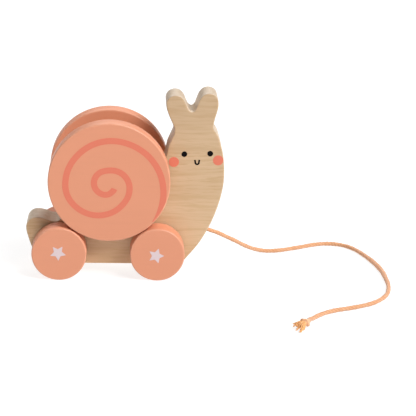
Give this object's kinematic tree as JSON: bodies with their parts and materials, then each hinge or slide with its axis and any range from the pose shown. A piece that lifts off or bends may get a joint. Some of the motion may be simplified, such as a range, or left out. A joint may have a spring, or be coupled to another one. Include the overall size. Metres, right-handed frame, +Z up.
{
  "type": "pull along toy",
  "caption": "Wooden snail on wheels, with round shell discs that spin on their own axle and a soft cord at the chest for pulling it along.",
  "frame": {"origin": "on the floor under the middle of the toy, without its cord", "axes": "+X towards the head, in the direction the toy is pulled; +Y to the toy's left; +Z up"},
  "size_m": [0.2547, 0.1755, 0.1309],
  "materials": {
    "natural_wood": "sanded natural softwood with a thin clear matt varnish, fine straight grain along the board",
    "dowel_wood": "plain round dowel, unvarnished",
    "coral_paint": "wood under smooth satin peach-coral paint, softened rims",
    "coral_ink": "screen printed coral ink on wood, matt",
    "white_ink": "screen printed off-white ink on paint, matt",
    "black_ink": "screen printed black ink on wood, satin",
    "cotton_cord": "soft twisted cotton cord, dyed peach, fuzzy"
  },
  "bodies": {
    "chassis": {"body_board": "natural_wood", "cord": "cotton_cord", "cord_end_knot": "cotton_cord", "cord_frayed_end": "cotton_cord"},
    "shell": {"shell_axle": "dowel_wood", "shell_spacer_left": "dowel_wood", "shell_spacer_right": "dowel_wood", "shell_disc_left": "coral_paint", "shell_disc_right": "coral_paint"},
    "rear_wheelset": {"axle_rear": "dowel_wood", "wheel_rear_left": "coral_paint", "wheel_rear_right": "coral_paint"},
    "front_wheelset": {"axle_front": "dowel_wood", "wheel_front_left": "coral_paint", "wheel_front_right": "coral_paint"}
  },
  "joints": [
    {"name": "shell_spin", "type": "hinge", "parent": "chassis", "child": "shell", "pos_m": [-0.0111, 0, 0.0706], "axis": [0, 1, 0], "continuous": true},
    {"name": "rear_wheels_spin", "type": "hinge", "parent": "chassis", "child": "rear_wheelset", "pos_m": [-0.0455, 0, 0.019], "axis": [0, 1, 0], "continuous": true},
    {"name": "front_wheels_spin", "type": "hinge", "parent": "chassis", "child": "front_wheelset", "pos_m": [0.0227, 0, 0.019], "axis": [0, 1, 0], "continuous": true}
  ]
}
